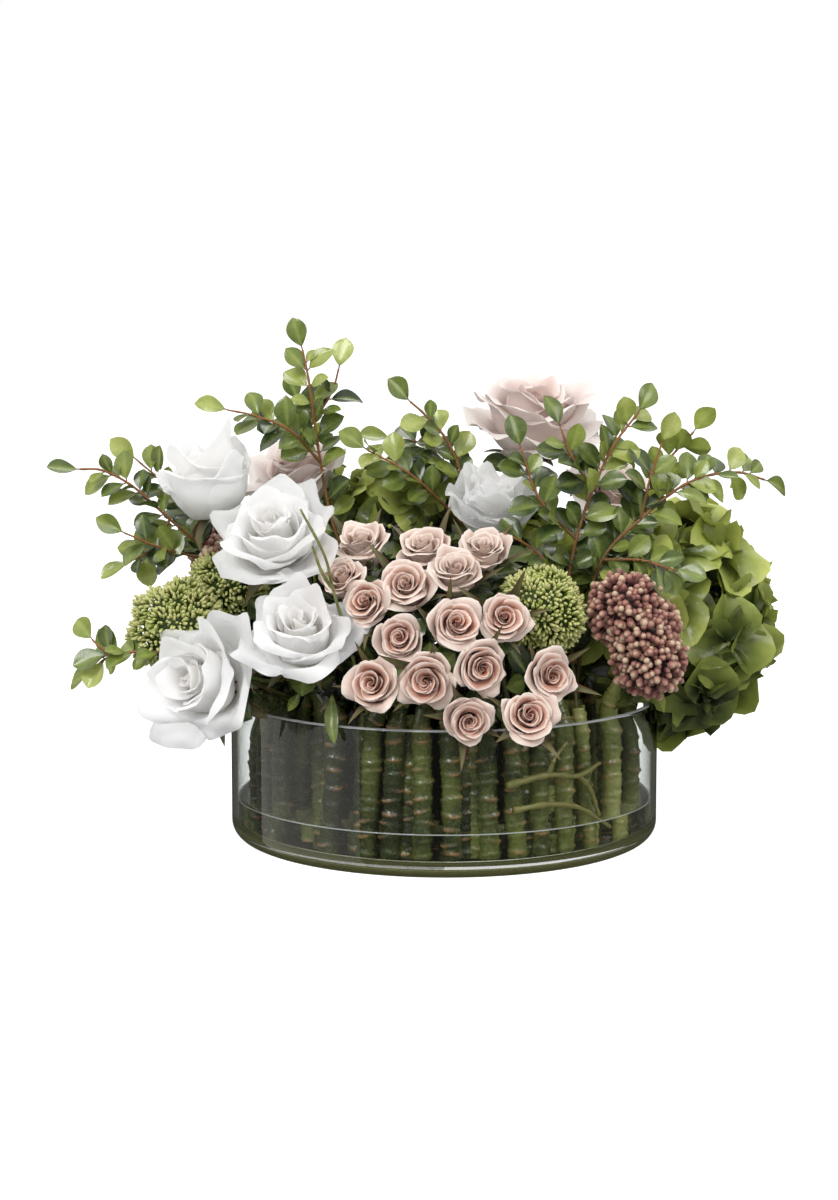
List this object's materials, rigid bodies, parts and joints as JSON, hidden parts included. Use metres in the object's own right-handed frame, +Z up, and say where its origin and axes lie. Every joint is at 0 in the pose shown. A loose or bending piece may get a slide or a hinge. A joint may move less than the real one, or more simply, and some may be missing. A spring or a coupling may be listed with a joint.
{
  "type": "floral table centerpiece",
  "caption": "Low round clear glass bowl holding a full mixed arrangement of roses, spray roses, hydrangea, sedum and leafy branches, stems set in clear resin.",
  "frame": {"origin": "centre of the bowl's flat underside, on the table", "axes": "+Z up, -Y towards the front of the arrangement, +X to the viewer's right along its widest spread"},
  "size_m": [0.5153, 0.3751, 0.3656],
  "materials": {
    "clear_glass": "gloss",
    "clear_resin": "gloss",
    "white_petal": "matte",
    "blush_petal": "matte",
    "spray_petal": "matte",
    "stem_green": "satin",
    "hydrangea_green": "matte",
    "sedum_green": "matte",
    "sedum_red": "matte",
    "leaf_green": "satin",
    "root_green": "matte"
  },
  "bodies": {
    "root": {"garden_rose_1": "blush_petal", "garden_rose_2": "blush_petal", "garden_rose_3": "blush_petal", "garden_rose_stem_1": "stem_green", "garden_rose_stem_2": "stem_green", "garden_rose_stem_3": "stem_green", "glass_bowl": "clear_glass", "green_sedum_1": "sedum_green", "green_sedum_2": "sedum_green", "green_sedum_3": "sedum_green", "hydrangea_1": "hydrangea_green", "hydrangea_2": "hydrangea_green", "hydrangea_3": "hydrangea_green", "hydrangea_4": "hydrangea_green", "leafy_branch_1": "leaf_green", "leafy_branch_2": "leaf_green", "leafy_branch_3": "leaf_green", "leafy_branch_4": "leaf_green", "leafy_branch_5": "leaf_green", "leafy_branch_6": "leaf_green", "leafy_branch_7": "leaf_green", "leafy_branch_8": "leaf_green", "red_sedum_1": "sedum_red", "red_sedum_2": "sedum_red", "resin_water": "clear_resin", "root_tendril": "root_green", "spray_rose_1": "spray_petal", "spray_rose_10": "spray_petal", "spray_rose_11": "spray_petal", "spray_rose_12": "spray_petal", "spray_rose_13": "spray_petal", "spray_rose_14": "spray_petal", "spray_rose_15": "spray_petal", "spray_rose_16": "spray_petal", "spray_rose_2": "spray_petal", "spray_rose_3": "spray_petal", "spray_rose_4": "spray_petal", "spray_rose_5": "spray_petal", "spray_rose_6": "spray_petal", "spray_rose_7": "spray_petal", "spray_rose_8": "spray_petal", "spray_rose_9": "spray_petal", "spray_rose_stem_1": "stem_green", "spray_rose_stem_2": "stem_green", "spray_rose_stem_3": "stem_green", "spray_rose_stem_4": "stem_green", "spray_rose_stem_5": "stem_green", "spray_rose_stem_6": "stem_green", "white_rose_1": "white_petal", "white_rose_2": "white_petal", "white_rose_3": "white_petal", "white_rose_4": "white_petal", "white_rose_5": "white_petal", "white_rose_6": "white_petal", "white_rose_stem_1": "stem_green", "white_rose_stem_2": "stem_green", "white_rose_stem_3": "stem_green", "white_rose_stem_4": "stem_green", "white_rose_stem_5": "stem_green", "white_rose_stem_6": "stem_green"}
  },
  "joints": []
}
